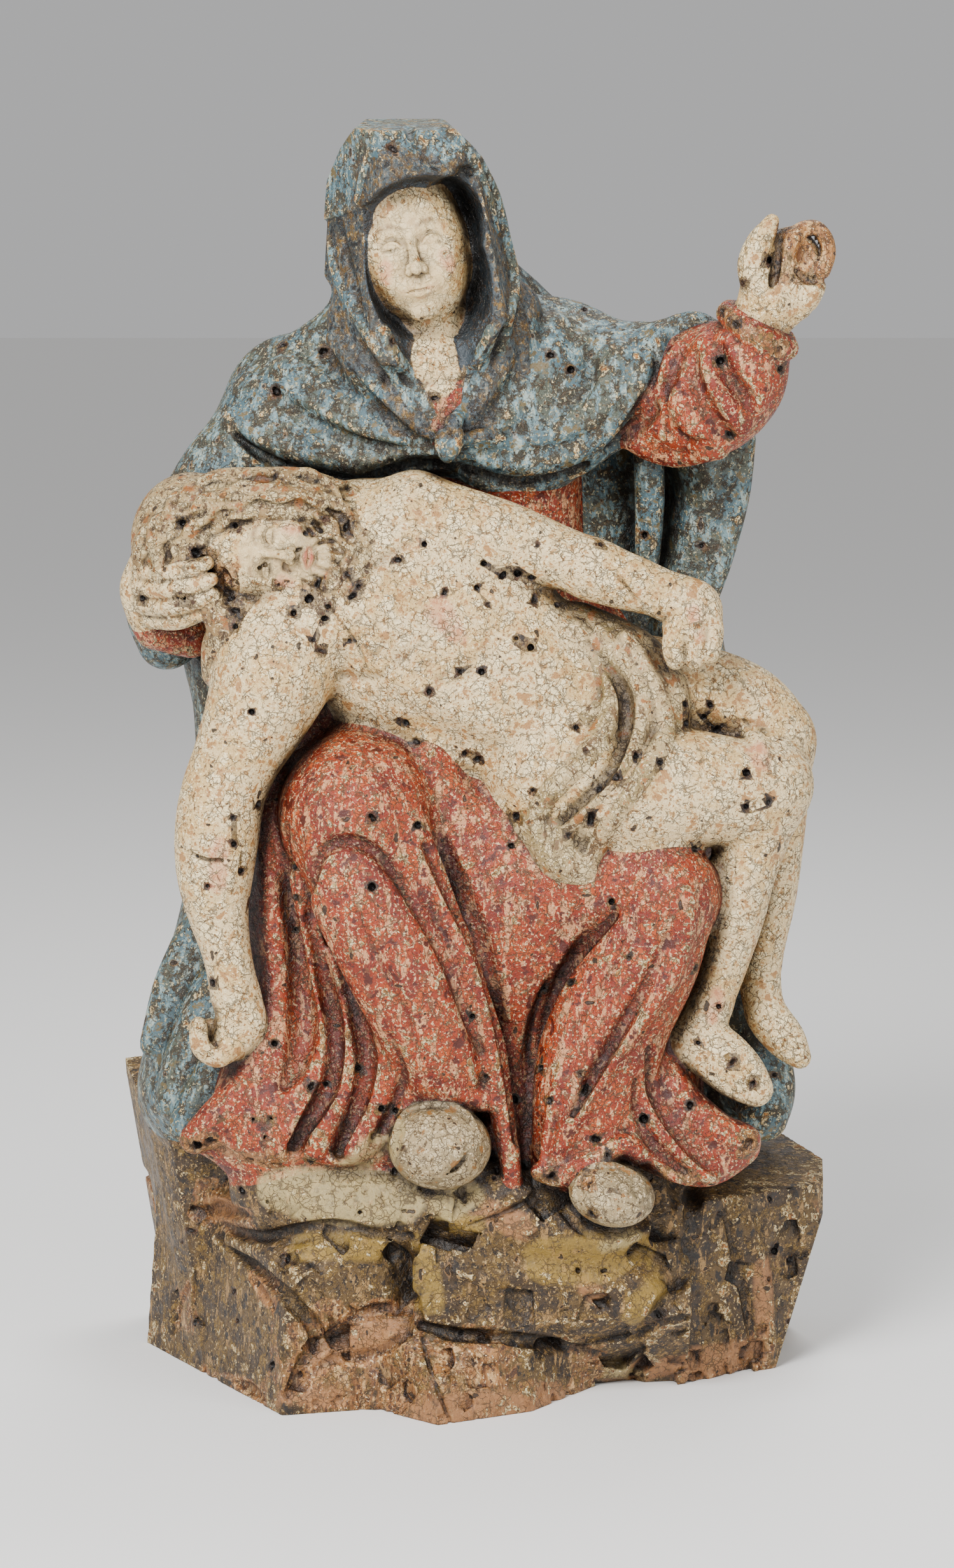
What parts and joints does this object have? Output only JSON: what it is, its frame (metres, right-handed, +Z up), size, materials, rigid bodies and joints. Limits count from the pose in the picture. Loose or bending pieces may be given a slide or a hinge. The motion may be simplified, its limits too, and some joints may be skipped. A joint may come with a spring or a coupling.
{
  "type": "pieta statue",
  "caption": "Carved and painted wood group of a seated, hooded mother with a raised hand and her dead son across her lap, on a faceted rock base.",
  "frame": {"origin": "on the sawn underside of the rock, below the middle of the group", "axes": "+Z up, +Y away from the viewer who stands before the faces, +X to that viewer's right"},
  "size_m": [0.3476, 0.2125, 0.5994],
  "materials": {
    "painted_wood": "worn paint over gesso"
  },
  "bodies": {
    "root": {"pieta_carving": "painted_wood"}
  },
  "joints": []
}
